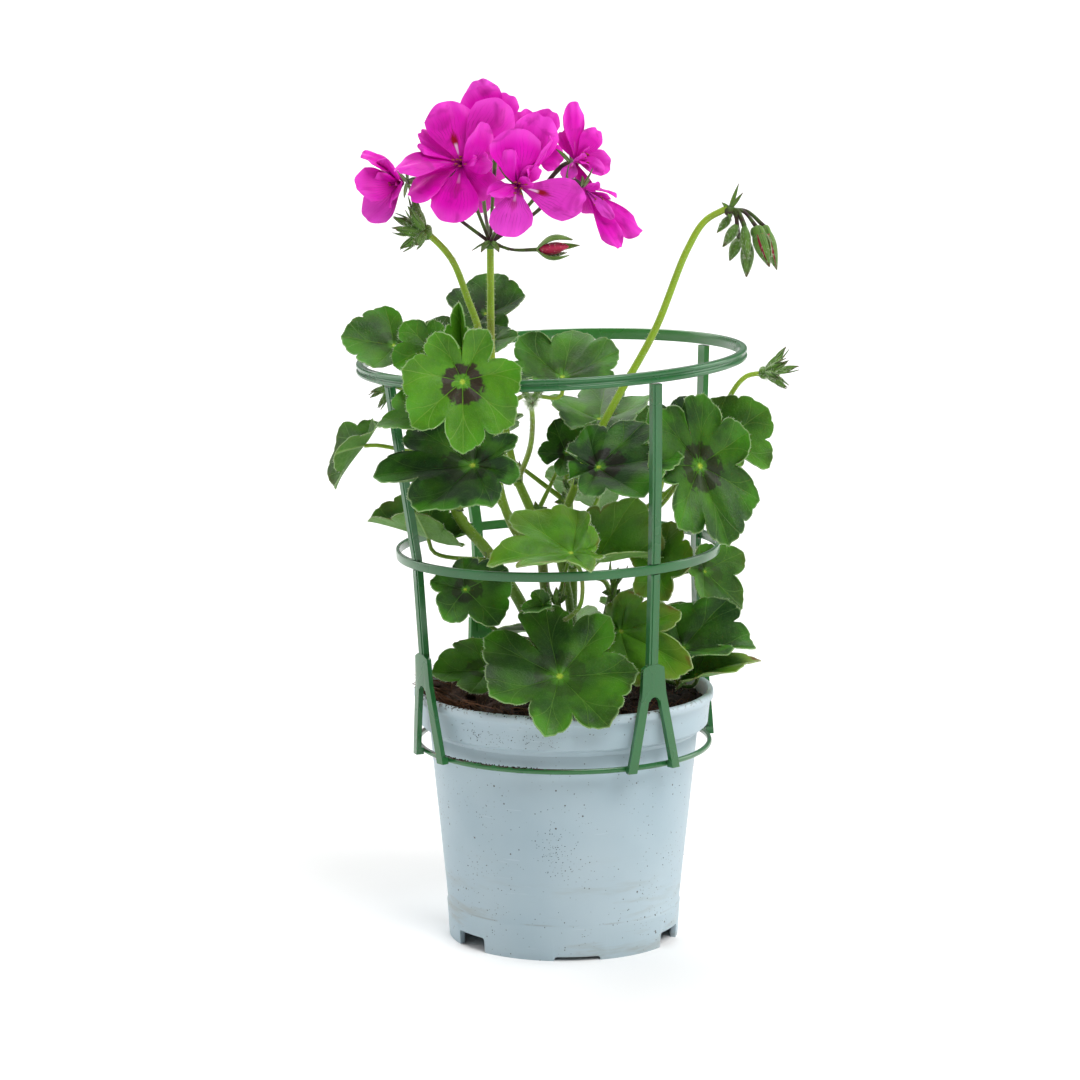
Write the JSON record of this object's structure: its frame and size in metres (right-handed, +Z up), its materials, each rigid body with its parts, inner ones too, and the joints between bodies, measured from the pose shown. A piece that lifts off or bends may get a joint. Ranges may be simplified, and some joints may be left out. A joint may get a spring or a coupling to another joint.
{
  "type": "potted geranium",
  "caption": "Potted trailing geranium in a pale blue-grey nursery pot, with magenta blooms and a green ring support.",
  "frame": {"origin": "middle of the pot's foot, on the surface that it stands on", "axes": "+Z up along the pot's axis; the plant's front, as pictured, faces -Y; +X to the right of it"},
  "size_m": [0.1965, 0.1814, 0.3718],
  "materials": {
    "pot_plastic": "thin satin moulding, pale blue-grey",
    "support_plastic": "semi-gloss moulding, mid green",
    "peat": "moist fibrous peat, matte",
    "foliage": "live leaf, satin with fine hairs",
    "petal": "live petal, soft and velvety",
    "bud_petal": "rolled live petal"
  },
  "bodies": {
    "root": {"pot": "pot_plastic", "soil": "peat", "support_top_ring": "support_plastic", "support_middle_ring": "support_plastic", "support_lower_ring": "support_plastic", "support_upright_front_right": "support_plastic", "support_upright_left": "support_plastic", "support_upright_back_right": "support_plastic", "support_upright_back_left": "support_plastic", "leafy_stem_left": "foliage", "leafy_stem_flowering": "foliage", "leafy_stem_right": "foliage", "leafy_stem_low_right": "foliage", "leafy_stem_front": "foliage", "leafy_stem_back": "foliage", "bloom_front_left": "petal", "bloom_front_middle": "petal", "bloom_left": "petal", "bloom_top": "petal", "bloom_right": "petal", "bloom_lower_right": "petal", "bloom_back": "petal", "bloom_rear": "petal", "opening_bud": "bud_petal"}
  },
  "joints": []
}
